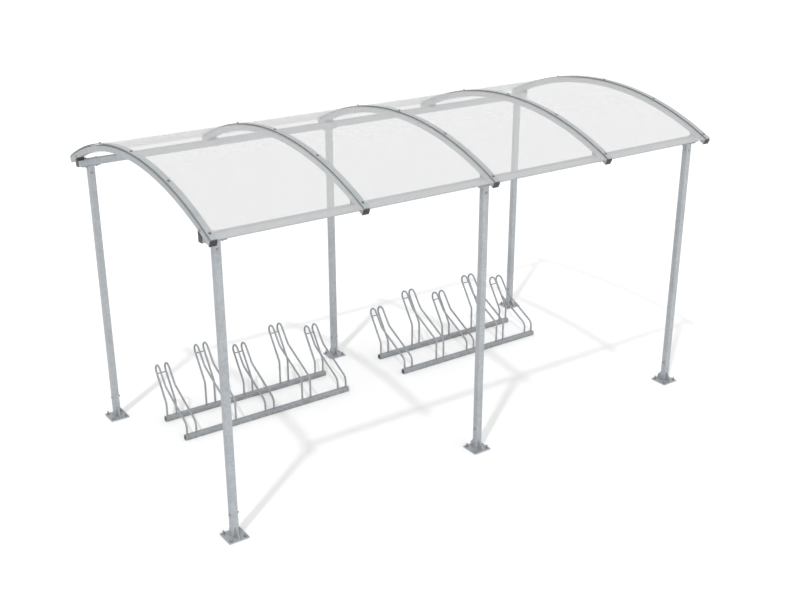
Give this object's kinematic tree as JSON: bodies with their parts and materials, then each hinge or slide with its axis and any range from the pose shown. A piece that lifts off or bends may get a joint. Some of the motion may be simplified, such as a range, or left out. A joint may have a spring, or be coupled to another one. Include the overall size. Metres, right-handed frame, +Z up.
{
  "type": "bike shelter",
  "caption": "Open bike shelter: square posts on bolted feet, bent arches with a clear barrel roof, and floor racks of bent-rod wheel holders.",
  "frame": {"origin": "on the ground, at the middle of the six posts", "axes": "+X along the shelter, -Y the open front, +Z up"},
  "size_m": [4.4, 2.397, 2.4686],
  "materials": {
    "galvanised_frame": "hot-dip galvanised, satin grey with a faint spangle",
    "black_plastic": "moulded, matte",
    "clear_sheet": "clear twin-wall sheet with fine webs",
    "aluminium_strip": "mill finish, satin",
    "rubber_gasket": "extruded, matte",
    "rack_zinc": "zinc plated, dull grey"
  },
  "bodies": {
    "root": {"front_left_post": "galvanised_frame", "front_middle_post": "galvanised_frame", "front_right_post": "galvanised_frame", "rear_left_post": "galvanised_frame", "rear_middle_post": "galvanised_frame", "rear_right_post": "galvanised_frame", "front_left_foot": "galvanised_frame", "front_middle_foot": "galvanised_frame", "front_right_foot": "galvanised_frame", "rear_left_foot": "galvanised_frame", "rear_middle_foot": "galvanised_frame", "rear_right_foot": "galvanised_frame", "front_post_heads": "galvanised_frame", "rear_post_heads": "galvanised_frame", "front_rail": "galvanised_frame", "rear_rail": "galvanised_frame", "rail_end_caps": "black_plastic", "arch_1": "galvanised_frame", "arch_2": "galvanised_frame", "arch_3": "galvanised_frame", "arch_4": "galvanised_frame", "arch_5": "galvanised_frame", "arch_end_caps": "black_plastic", "front_arch_pads": "black_plastic", "rear_arch_pads": "black_plastic", "arch_cleats": "galvanised_frame", "roof_sheet_1": "clear_sheet", "roof_sheet_2": "clear_sheet", "roof_sheet_3": "clear_sheet", "roof_sheet_4": "clear_sheet", "cover_strip_1": "aluminium_strip", "cover_strip_2": "aluminium_strip", "cover_strip_3": "aluminium_strip", "cover_strip_4": "aluminium_strip", "cover_strip_5": "aluminium_strip", "lower_gaskets": "rubber_gasket", "upper_gaskets": "rubber_gasket", "left_rack_front_rail": "rack_zinc", "left_rack_rear_rail": "rack_zinc", "left_rack_low_holders": "rack_zinc", "left_rack_high_holders": "rack_zinc", "right_rack_front_rail": "rack_zinc", "right_rack_rear_rail": "rack_zinc", "right_rack_low_holders": "rack_zinc", "right_rack_high_holders": "rack_zinc"}
  },
  "joints": []
}
